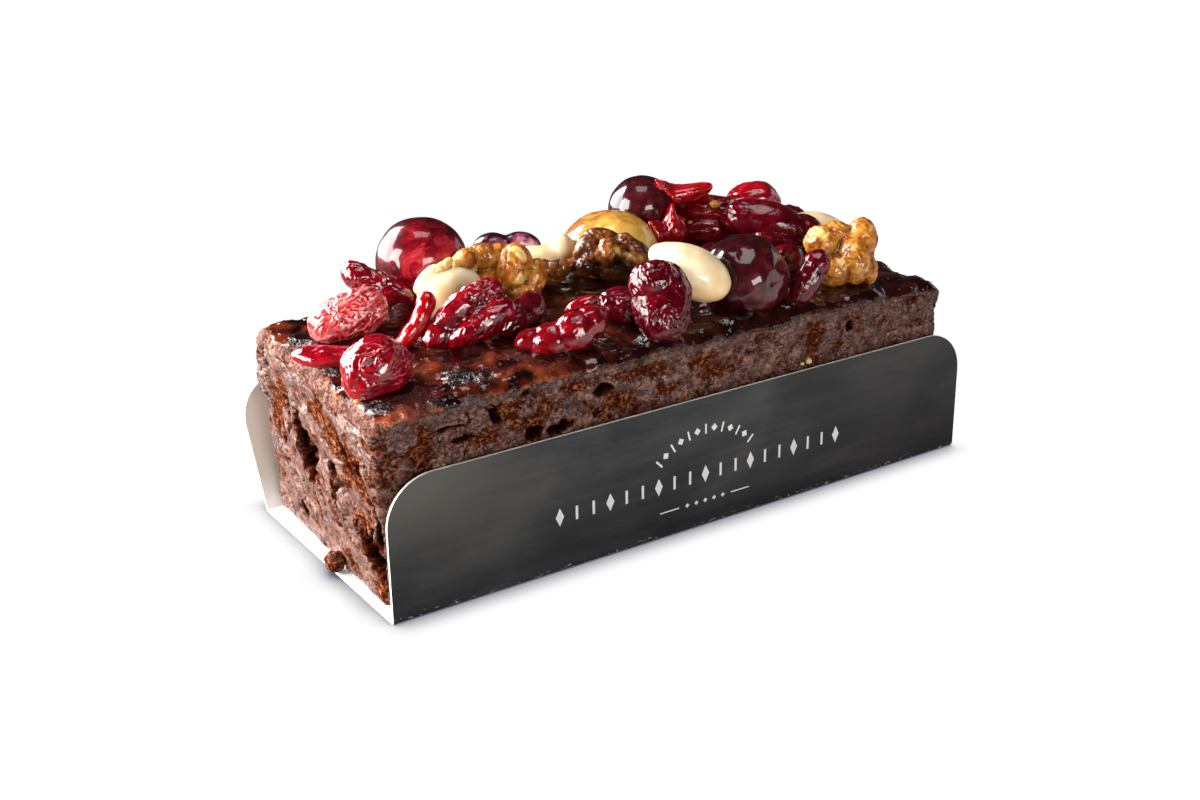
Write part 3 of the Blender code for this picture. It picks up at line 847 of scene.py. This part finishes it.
# Forms of the toppings that aren't plain eggs: parts at x, y, z from the node's middle as the camera sees
# it, width, height, depth and turn. A name in KEEPS_NODE adds them to the node's own form.
FORMS = {
    "berry_folded": (
        (0.2, -0.4, -0.6, 17.5, 9, 6.5, 38), (-2.2, 0.9, 0.8, 17, 5.8, 6.5, 45),
        (2.4, -1.7, 1.6, 15, 5.6, 6.5, 31), (7, 1.6, 0.6, 5, 6.5, 5.5, 70),
        (-5.6, -3.6, 0.8, 7.6, 6, 6.5, 20), (3.8, 5.2, -0.6, 7, 5.5, 5.5, 10),
    ),
    "berry_cup": (
        (-6.4, -2.8, 0.8, 6.6, 4.8, 5.5, 24), (-1.8, -2.8, 1.2, 10.4, 7.4, 7, 10),
        (2.4, -1.2, 1.4, 10, 8, 7.5, 28), (5.8, 0.9, 0.6, 6.6, 6.8, 6, 50),
        (3.8, 4.6, -2.6, 7.6, 2.8, 3.4, 24),
    ),
    "berry_leaf": (
        (-6.2, 1.6, 0.6, 6.4, 5.2, 4.6, -66), (-4.6, 1.5, 0.6, 6.4, 4.8, 4.4, -38),
        (-3.2, 0, 0.4, 9.6, 5.2, 4.2, -34), (1.6, -1.7, 0, 10, 4.6, 4, -20),
        (-1, 0.4, 0.4, 8.6, 4.2, 3.8, -26), (-0.6, -2.6, -1.6, 8, 4, 4, -20),
    ),
    "berry_sliver": (
        (2.1, 3.8, 0, 5.4, 4.2, 4.2, 78), (1.1, 0.9, 0.4, 7.4, 4, 4.4, 68),
        (-0.9, -2.2, 0.4, 7.4, 3.8, 4.2, 55), (-2.9, -4.4, 0.2, 4.6, 3.2, 3.4, 35),
    ),
    "berry_flat": (
        (0, 0, 0, 17.4, 9.6, 9, 24), (2.4, 1, -0.4, 12, 10.2, 8.6, 30),
        (-3.4, -1.6, 0.4, 9.6, 8.2, 7.6, 16),
    ),
    "berry_upended": ((-1.4, 3.6, 0.2, 10.6, 9.6, 8.5, 10),),
    "walnut_left": (
        (-14.6, -1.8, 10.4, 9, 2.5, 4, 42), (-9, 1.2, 6.8, 6, 4.6, 6, 24),
        (-5.9, 2.1, 1.6, 7, 6.4, 6.4, 20), (-2, 2.6, 0.8, 5.4, 5.4, 5.4, 0),
        (0.9, 0.1, 1.6, 8.6, 10.4, 8.6, -12), (5, -2.4, 0.6, 5.8, 9.4, 4.6, -18),
        (3, -5.2, 0.8, 8, 4.4, 5.4, 16), (-5.6, -1.8, 0.6, 8.4, 4.4, 5.6, -4),
        (-1.2, -3.4, 0, 7, 5, 6, -10),
    ),
    "walnut_middle": (
        (0, -0.4, -1.6, 16, 9, 4.6, -8), (-3.2, 5, -0.6, 8.2, 4, 6, -6), (-6.4, 3, 0, 7.4, 4, 6, 48),
        (-5.2, 0.8, 0.6, 5.6, 4.6, 4.6, 30), (-1.5, 1.2, 2.6, 5.4, 6.8, 5.6, 0),
        (1.8, 3.6, 0.2, 5, 4.2, 6, 15), (5, 1.6, 0.2, 8.6, 4, 6, -42), (3.8, -0.6, 0.6, 7, 4.2, 5, -34),
        (-6.6, -1.4, 0, 4.2, 5, 4.6, 10),
    ),
    "walnut_right": (
        (1, -0.2, -1, 13.5, 12.4, 7.6, 0), (4.6, 3.2, 0.4, 7.2, 10, 8, -4),
        (2.7, -1.3, 2, 7.4, 11.6, 7.8, 4), (-1.6, -3.8, 1.2, 7.4, 7.6, 7.4, 14),
        (-4.4, 2.5, 0.6, 8.2, 8, 8, 0), (-0.8, 4.6, 0, 7.4, 5.6, 7, -12), (6.3, -3.4, -0.4, 4.2, 6.8, 6, 4),
    ),
    "berry_mass": (
        (-5.6, 3, 0, 9, 6.6, 7, -12), (1.6, 1.2, 0, 22, 9.6, 9, -2), (8.6, 1.6, -0.6, 13, 9.6, 9, -8),
        (-0.5, -3.2, 1.2, 15, 6, 8, 2),
    ),
    "berry_long": (
        (-7.4, 2.4, -0.4, 12, 9.6, 9, -8), (-0.6, 0.6, 0.4, 22, 9.4, 10, -23), (6.6, -1, 0, 10, 8, 8, -30),
        (0.5, -3.2, 1, 14, 6.5, 8, -14),
    ),
    "walnut_chip": (
        (-3.4, 1, 0, 5.5, 3.6, 4, 20), (0.2, 0.6, 0.6, 6, 4.6, 4.6, 20), (3.8, 1.8, 0, 5.5, 3.2, 4, 25),
        (-1.6, -1.6, 0, 7, 2.4, 3.4, 5),
    ),
    "almond_middle": ((5.4, 3.2, 0, 5.4, 6.6, 6, 20),),
    "almond_left": ((-4.7, 2.5, 2.2, 8, 3.4, 4.4, 50),),
    "berry_upright": ((1, -1, 0.6, 5.8, 7.4, 5, -8),),
    "berry_slanted": (
        (0.4, -0.4, 0, 13.9, 5.8, 6, 62), (1.9, 2.6, 0.2, 6.6, 6, 5.6, 60),
    ),
    "cherry_plum": (
        (0, 0, 0, 16, 9.8, 10, 0), (-1.2, 3.6, 0, 9.5, 7.6, 8, 0), (5, 3.6, 0, 10, 8, 8, 0),
    ),
}
KEEPS_NODE = ("berry_upended", "berry_upright", "almond_middle", "almond_left")

# How each berry is wrinkled: depth of the folds, depth of the net of ridges, its spacing, and whether it
# is radial.
PLAIN_WRINKLES = (0.5, 0.30, 1.8)
WRINKLES = {
    "berry_flat": (0.15, 0.40, 1.3, True), "berry_corner": (0.50, 0.34, 1.9),
    "berry_folded": (0.35, 0.28, 1.7), "berry_upended": (0.25, 0.22, 1.3), "berry_cup": (0.16, 0.10, 2.4),
    "berry_leaf": (0.20, 0.20, 1.6), "berry_sliver": (0.08, 0.03, 1.8), "berry_strip": (0.20, 0.12, 1.8),
    "berry_slanted": (0.25, 0.24, 1.4), "berry_long": (0.70, 0.14, 2.6), "berry_mass": (0.80, 0.20, 2.4),
    "berry_top": (0.45, 0.14, 2.4), "berry_cap": (0.30, 0.10, 2), "berry_upright": (0.35, 0.20, 1.8),
    "berry_under": (0.60, 0.16, 2), "berry_low": (0.70, 0.24, 1.8), "berry_tucked": (0.60, 0.24, 1.8),
}

# Berries with a smooth, taut skin.
SMOOTH_BERRIES = ("berry_cup", "berry_leaf", "berry_sliver", "berry_slanted")

# Toppings whose skin differs from their kind's.
OWN_LOOK = {
    "berry_flat": "highlit_berry", "berry_cup": "deep_berry", "berry_folded": "deep_berry",
    "berry_slanted": "dark_berry", "berry_leaf": "deep_berry", "berry_mass": "deep_berry",
    "cherry_plum": "plum",
}


def wrinkle_berry(piece, seed, folds, net, spacing, radial=False):
    """Soft folds and a net of rounded ridges, here strong and there faint; ridges are painted lighter and
    valleys darker, as painted highlight and shade.
    """
    points = points_of(piece)
    middle = points.mean(0)
    axes = np.linalg.svd(points - middle, full_matrices=False)[2]
    local = (points - middle) @ axes.T + seed * 13.1
    local[:, 0] *= 0.5
    if radial:
        across, over = (points - middle) @ VIEW[0] + 1.5, (points - middle) @ VIEW[1] - 0.6
        turn = radians(24)
        u = (across * cos(turn) + over * sin(turn)) * 0.6
        v = over * cos(turn) - across * sin(turn)
        out, angle = np.hypot(u, v), np.arctan2(v, u)
        local = np.stack([3.4 * np.cos(angle), 3.4 * np.sin(angle), 0.8 * out], 1)
    warped = local + 0.6 * drift(local / 2.4, seed)
    soft = perlin(warped / (2.2 * spacing), seed + 1)
    web = np.exp(-((perlin(warped / spacing, seed + 2) / 0.34) ** 2))
    fine = np.exp(-((perlin(warped / (0.55 * spacing), seed + 3) / 0.36) ** 2))
    strong = 0.30 + 0.9 * ease(perlin(local / (2.6 * spacing), seed + 4), -0.35, 0.45)
    swell(piece, folds * soft + strong * net * (web - 0.5 + 0.65 * (fine - 0.5)))
    paint(piece, "ridge_light_and_shade", np.clip(0.5 - 2.4 * sunkenness(piece, 9), 0, 1))


def start_fruit(node, part, look, voxel, smoothing, grow):
    """A topping's fine mesh in that look, and its points."""
    piece = fruit_copy(node, f"{node}_{part}", voxel, smoothing, grow)
    piece.data.materials.append(LOOKS[look])
    return piece, points_of(piece)


def build_berry(node, seed, slot):
    smoothing = 24 if node in SMOOTH_BERRIES else 4
    piece, _ = start_fruit(node, "fruit", OWN_LOOK.get(node, slot), WRINKLED_VOXEL, smoothing, 0.3)
    wrinkle_berry(piece, seed, *WRINKLES.get(node, PLAIN_WRINKLES))
    settle_in(piece, slot, node)


def build_walnut(node, seed, slot):
    """Smooth lobes with narrow creases between them, and paler broken places; the creases get painted shade.
    """
    piece, points = start_fruit(node, "kernel", slot, WRINKLED_VOXEL, 7, 0.4)
    local = points + seed * 7.7
    warped = local + 0.9 * drift(local / 3.5, seed)
    lobes = np.clip(np.abs(perlin(warped / 3, seed + 1)) / 0.5, 0, 1)
    small = np.clip(np.abs(perlin(warped / 1.3, seed + 2)) / 0.5, 0, 1)
    folds = 0.35 if node in FORMS else 0.9
    swell(piece, folds * (lobes**0.5 - 0.8) + 0.12 * (small**0.7 - 0.6))
    crease_shade = ease(sunkenness(piece, 18), 0.01, 0.20)
    pale = ease(perlin(local / 4.5, seed + 5), 0.35, 0.60)
    right, up, _ = VIEW
    # walnut_middle is also painted dark below its middle: painted shadow under its roof.
    if node == "walnut_middle":
        below = (points.mean(0) - points) @ up
        crease_shade = np.maximum(crease_shade, 0.9 * ease(below + perlin(local / 2, seed + 6), -0.5, 2.5))
    if node == "walnut_left":
        leftward = (points.mean(0) - points) @ right
        pale = np.maximum(pale, ease(leftward, 5, 9))
    paint(piece, "crease_shade", crease_shade)
    paint(piece, "pale", pale)
    settle_in(piece, slot, node)


def build_almond(node, seed, slot):
    piece, points = start_fruit(node, "kernel", slot, SMOOTH_VOXEL, 8 if node in FORMS else 14, 0.3)
    swell(piece, 0.16 * fractal(points / 5, 2, seed))
    # low marks undersides and creases, which the look paints amber as shade.
    low = 0.75 * ease(-normals_of(piece)[:, 2], 0, 0.9)
    paint(piece, "low", np.maximum(low, 0.9 * ease(sunkenness(piece, 10), 0.03, 0.22)))
    settle_in(piece, slot, node)


def build_cherry(node, seed, slot):
    grow = 0.25 + {"cherry_red": 0.4, "cherry_plum": 0.8}.get(node, 0)
    piece, points = start_fruit(node, "fruit", OWN_LOOK.get(node, slot), SMOOTH_VOXEL, 14, grow)
    swell(piece, (0.45 if node == "cherry_dark" else 0.12) * fractal(points / 5, 2, seed))
    # Which side light leaves the fruit by, for the look to paint brighter as painted glow.
    right, up, back = VIEW
    through = 0.42 * right - 0.20 * up + 0.88 * back
    paint(piece, "painted_glow", np.clip(normals_of(piece) @ through, -1, 1))
    settle_in(piece, slot, node)


def in_view(node, x, y, z=0):
    """The place so far right of, above and in front of a node's middle, as the camera sees it."""
    points = points_of(frame["nodes"][node])
    return (points.min(0) + points.max(0)) / 2 + (x, y, z) @ VIEW


def ball(subdivisions, radius):
    """Points and faces of a round ball about the origin."""
    work = bmesh.new()
    bmesh.ops.create_icosphere(work, subdivisions=subdivisions, radius=radius)
    points = np.array([vertex.co for vertex in work.verts])
    faces = [[vertex.index for vertex in face.verts] for face in work.faces]
    work.free()
    return points, faces


def joined(shapes):
    """Points and faces of several shapes as one."""
    points, faces, first = [], [], 0
    for places, sides in shapes:
        points.append(places)
        faces += [[first + corner for corner in side] for side in sides]
        first += len(places)
    return np.concatenate(points), faces


def lump_mesh(node, lumps):
    """Egg shapes at x, y, z from the node's middle as the camera sees it, so wide, tall, deep and turned."""
    points, faces = ball(4, 0.5)
    shapes = []
    for x, y, z, wide, tall, deep, turn in lumps:
        c, s = cos(radians(turn)), sin(radians(turn))
        lump = points * (wide, tall, deep) @ np.array([[c, s, 0], [-s, c, 0], [0, 0, 1]]) + (x, y, z)
        shapes.append((lump @ VIEW + in_view(node, 0, 0), faces))
    return joined(shapes)


def neighbours(mesh):
    edges = np.empty(len(mesh.edges) * 2, np.int32)
    mesh.edges.foreach_get("vertices", edges)
    edges = edges.reshape(-1, 2)
    count = np.bincount(edges.ravel(), minlength=len(mesh.vertices)).reshape(-1, 1)
    return np.concatenate([edges, edges[:, ::-1]]), np.maximum(count, 1)


def spread(values, links, rounds):
    """Values averaged over the surface, again and again."""
    pairs, count = links
    for _ in range(rounds):
        sums = [np.bincount(pairs[:, 0], column[pairs[:, 1]], len(values)) for column in values.T]
        values = 0.5 * values + 0.5 * np.stack(sums, 1) / count
    return values


def sunkenness(piece, rounds):
    """How far each point lies under the surface around it, in millimetres; ridges are negative."""
    points = points_of(piece)
    return ((spread(points, neighbours(piece.data), rounds) - points) * normals_of(piece)).sum(1)


def fruit_copy(node, name, voxel, smoothing, grow=0):
    """A fine even mesh over the node's form, or over its parts in FORMS."""
    if node not in FORMS:
        return fine_copy(node, name, voxel, smoothing, grow)
    points, faces = lump_mesh(node, FORMS[node])
    lumps = new_piece(name + "_parts", points, faces, [])
    if node in KEEPS_NODE:
        base = fine_copy(node, name + "_base", voxel, smoothing, grow)
        work = bmesh.new()
        work.from_mesh(lumps.data)
        work.from_mesh(base.data)
        work.to_mesh(lumps.data)
        work.free()
        bpy.data.objects.remove(base)
    piece = remeshed(lumps, name, voxel, smoothing, 0)
    bpy.data.objects.remove(lumps)
    return piece


# Small loose bits: a node to measure from or None, place, size. Peel is orange and the rest is pale crumb.
PEEL_BITS = (
    (None, (-74.4, -19.4, 42.3), 1.5), (None, (-71.5, -28, 39.9), 1.3), (None, (-68.5, -28.2, 40.3), 1.1),
    (None, (-52, -27.6, 42.1), 1.2), ("berry_mass", (2, 2.7, 5), 2.9), ("berry_mass", (-4, -1.6, 4.8), 1.3),
)
PALE_BITS = (
    (None, (29.4, -28.4, 30.8), 1.9), (None, (27.6, -28.3, 30.6), 1.1), (None, (-61, -28, 38), 0.8),
)


def build_bits(name, look, bits):
    shapes = []
    for seed, (node, place, size) in enumerate(bits):
        points, faces = ball(3, size / 2)
        points *= (1, 0.75, 0.7)
        points *= 1 + 0.45 * perlin(points / size * 1.6, 90 + seed).reshape(-1, 1)
        shapes.append((points + (in_view(node, *place) if node else place), faces))
    settle_in(new_piece(name, *joined(shapes), [look]), "crumb")


BUILDERS = {"berry": build_berry, "walnut": build_walnut, "almond": build_almond, "cherry": build_cherry}


def build_toppings():
    slots = {row["node"]: row["material_slot"] for row in frame["record"]["subparts"]}
    for seed, node in enumerate(sorted(frame["nodes"])):
        kind = node.split("_")[0]
        if kind in BUILDERS:
            BUILDERS[kind](node, seed, slots[node])
    piece = fine_copy("crumb", "fallen_crumb", 0.2, grow=0.45)
    piece.data.materials.append(LOOKS["crumb"])
    points = points_of(piece)
    swell(piece, 0.35 * fractal(points / 1.6, 3, 5))
    for name, share in (("raisin", 0), ("hollow", 0), ("soak", 0), ("crack", 0), ("loose", 0.8)):
        paint(piece, name, np.full(len(points), share))
    settle_in(piece, "crumb", "crumb")


# ---- the tray


def wall_profile(lean, side):
    """Middle line of one half of the card, from the floor's middle out and up, and its half length."""
    path = [(0, CARD / 2), (side * (FLOOR_WIDTH / 2 - FOLD_RADIUS - 6), CARD / 2)]
    middle = np.array([side * (FLOOR_WIDTH / 2 - FOLD_RADIUS), FOLD_RADIUS])
    turn = pi / 2 - lean
    inner = FOLD_RADIUS - CARD / 2
    for step in range(7):
        angle = turn * step / 6
        path.append(tuple(middle + inner * np.array([side * sin(angle), -cos(angle)])))
    halves = [TRAY_LENGTH / 2] * len(path)
    rise = np.array([side * sin(lean), cos(lean)])
    foot = np.array(path[-1])
    reach = WALL_HEIGHT - FOLD_RADIUS
    straight = reach - CORNER_RADIUS
    for share in np.linspace(0, 1, 14)[1:-1]:
        path.append(tuple(foot + rise * straight * share))
        halves.append(TRAY_LENGTH / 2)
    for step in range(13):
        angle = pi / 2 * step / 12
        path.append(tuple(foot + rise * (straight + CORNER_RADIUS * sin(angle))))
        halves.append(TRAY_LENGTH / 2 - CORNER_RADIUS * (1 - cos(angle)))
    return path, halves


def build_tray():
    """One sheet of card: printed outside, white inside, with a raw edge all round."""
    front, front_half = wall_profile(FRONT_LEAN, -1)
    back, back_half = wall_profile(BACK_FLARE, 1)
    path = np.array(front[::-1] + back[1:])
    halves = np.array(front_half[::-1] + back_half[1:])
    across = np.gradient(path, axis=0)
    across /= np.linalg.norm(across, axis=1, keepdims=True)
    outward = np.stack([across[:, 1], -across[:, 0]], 1)
    shares = np.linspace(-1, 1, 61)
    count = len(shares)
    layers = []
    for sign in (1, -1):
        line = path + sign * CARD / 2 * outward
        x = np.outer(halves, shares)
        y = np.repeat(line[:, :1], count, 1)
        z = np.repeat(line[:, 1:], count, 1)
        layers.append(np.stack([x, y, z], -1).reshape(-1, 3))
    points = np.concatenate(layers)
    total = len(layers[0])
    grid = np.arange(total).reshape(len(path), count)
    outer = quads_of(grid)
    inner = outer[:, ::-1] + total
    loop = np.concatenate([grid[:, 0], grid[-1, 1:], grid[::-1, -1][1:], grid[0, ::-1][1:]])
    edge = np.stack([loop[:-1], loop[:-1] + total, loop[1:] + total, loop[1:]], 1)
    faces = np.concatenate([outer, inner, edge])
    groups = np.repeat([0, 1, 2], [len(outer), len(inner), len(edge)])
    looks = [LOOKS["print"], LOOKS["board"], LOOKS["raw_edge"]]
    piece = new_piece("tray_card", points, faces, looks, groups)
    piece.data.set_sharp_from_angle(angle=radians(50))
    settle_in(piece, "card", "tray")


LOZENGE = np.array([(1, 0), (0, 1), (-1, 0), (0, -1)]) / 2
BAR = np.array([(1, 1), (-1, 1), (-1, -1), (1, -1)]) / 2


def ornament_marks():
    """A plain ornament on the front wall, in x and height: an arc of dashes over rows of lozenges."""
    marks = []

    def add(shape, x, z, wide, tall, turn=0):
        c, s = cos(turn), sin(turn)
        marks.append(shape * (wide, tall) @ np.array([[c, s], [-s, c]]) + (x, z))

    for step in range(-6, 7):
        angle = radians(7.6 * step)
        shape, size = (LOZENGE, (1.7, 1.7)) if step % 2 else (BAR, (0.45, 2.2))
        add(shape, 17 * sin(angle), 5.5 + 17 * cos(angle), *size, -angle)
    for step in range(-9, 10):
        shape, size = (BAR, (0.6, 3)) if step % 3 else (LOZENGE, (2, 4))
        add(shape, step * 4.1, 12.2, *size)
    for step in range(-2, 3):
        add(LOZENGE, step * 2.4, 6, 1.1, 1.1)
    for x in (-9.5, 9.5):
        add(BAR, x, 6, 5, 0.3)
    return marks


def build_ornament():
    shapes = []
    for mark in ornament_marks():
        y = -FLOOR_WIDTH / 2 + (mark[:, 1] - FOLD_RADIUS) * tan(-FRONT_LEAN) - 0.03
        shapes.append((np.stack([mark[:, 0], y, mark[:, 1]], 1), [(3, 2, 1, 0)]))
    settle_in(new_piece("tray_ornament", *joined(shapes), [LOOKS["ink"]]), "card")


# ---- stage, light and camera


def add_camera():
    data = bpy.data.cameras.new("camera")
    data.lens = CAMERA_LENS
    data.sensor_width = 36
    data.clip_start = 0.01
    camera = add_object("camera", data)
    camera.matrix_world = Matrix.Translation(Vector(CAMERA_PLACE) * MM) @ Matrix(VIEW.T).to_4x4()
    bpy.context.scene.camera = camera


def add_stage():
    """A table that the camera sees as white, with a painted contact shadow by the tray; what it throws back
    on the cake is a pale patch in front.
    """
    look = Look("floor")
    seen = look.node("LightPath").outputs["Is Camera Ray"]
    near = look.node("AmbientOcclusion", {"Distance": 7 * MM}, samples=8).outputs["AO"]
    # Near the tray the camera's white turns bluish grey with ambient occlusion: a painted contact shadow.
    white = look.ramp(near, (0.35, (0.10, 0.10, 0.14)), (0.95, (1, 1, 1)))
    front = look.between(look.along("Y"), -95, -38, 1, 0)
    front = look.times(front, look.between(look.along("X"), -140, -60))
    thrown = look.plus(look.times(front, 1.1), 0.05)
    look.set(
        Base_Color=look.mix(seen, (0.08, 0.08, 0.08), (0, 0, 0)), Roughness=0.9,
        Specular_IOR_Level=0, Emission_Color=look.mix(seen, (1, 1, 1), white),
        Emission_Strength=look.plus(look.times(look.less(1, seen), thrown), look.times(seen, 1.02)),
    )
    corners = np.array([[-1, -1, 0], [1, -1, 0], [1, 1, 0], [-1, 1, 0]]) * 6000 - (0, 0, 0.02)
    floor = new_piece("floor", corners, [(0, 1, 2, 3)], [look.material])


def add_world():
    """Studio air: white to the camera and faint to the cake."""
    world = bpy.data.worlds.new("studio")
    bpy.context.scene.world = world
    world.use_nodes = True
    tree = world.node_tree
    tree.nodes.clear()
    mix = tree.nodes.new("ShaderNodeMixShader")
    tree.links.new(tree.nodes.new("ShaderNodeLightPath").outputs["Is Camera Ray"], mix.inputs[0])
    for socket, colour, strength in ((1, (0.93, 0.96, 1, 1), 0.035), (2, (1, 1, 1, 1), 1.05)):
        glow = tree.nodes.new("ShaderNodeBackground")
        glow.inputs["Color"].default_value = colour
        glow.inputs["Strength"].default_value = strength
        tree.links.new(glow.outputs[0], mix.inputs[socket])
    tree.links.new(mix.outputs[0], tree.nodes.new("ShaderNodeOutputWorld").inputs[0])


def add_panel(name, facing, distance, aside, level, size, radiance, colour=(1, 1, 1)):
    """A soft light square to a level direction, in degrees left of the camera, moved aside; in metres."""
    turn = radians(facing)
    near = Vector((*VIEW[2][:2], 0)).normalized()
    side = Vector((*VIEW[0][:2], 0)).normalized()
    away = cos(turn) * near - sin(turn) * side
    along = sin(turn) * near + cos(turn) * side
    data = bpy.data.lights.new(name, "AREA")
    data.shape = "RECTANGLE"
    data.size, data.size_y = size
    data.energy = radiance * pi * size[0] * size[1]
    data.color = colour
    light = add_object(name, data)
    light.location = away * distance + along * aside + Vector((0, 0, level))
    light.rotation_euler = away.to_track_quat("Z", "Y").to_euler()
    return light


def add_lights():
    add_panel("window", 137, 0.60, 0.68, 0.30, (1.46, 0.55), 15)
    add_panel("near window", 64, 0.62, 0, 0.22, (0.30, 0.42), 24, (1, 0.965, 0.91))
    add_panel("high window", 128, 0.60, 0, 0.46, (0.26, 0.20), 22)
    add_panel("fill", -24, 0.75, 0, 0.26, (0.34, 0.24), 15, (1, 0.98, 0.95))
    add_panel("lilac reflector", -130, 0.8, 0, 0.20, (0.5, 0.28), 1.2, (0.84, 0.84, 1))
    overhead = add_panel("overhead", 0, 0, 0, 0.75, (0.35, 0.30), 4.5)
    overhead.rotation_euler = (0, 0, -0.5)


add_camera()
add_stage()
add_world()
add_lights()
build_tray()
build_ornament()
build_crumb()
build_glaze()
build_toppings()
build_bits("peel_bits", LOOKS["peel"], PEEL_BITS)
build_bits("pale_bits", LOOKS["pale_crumb"], PALE_BITS)

scene = bpy.context.scene
scene.view_settings.view_transform = "Standard"
scene.view_settings.look = "None"
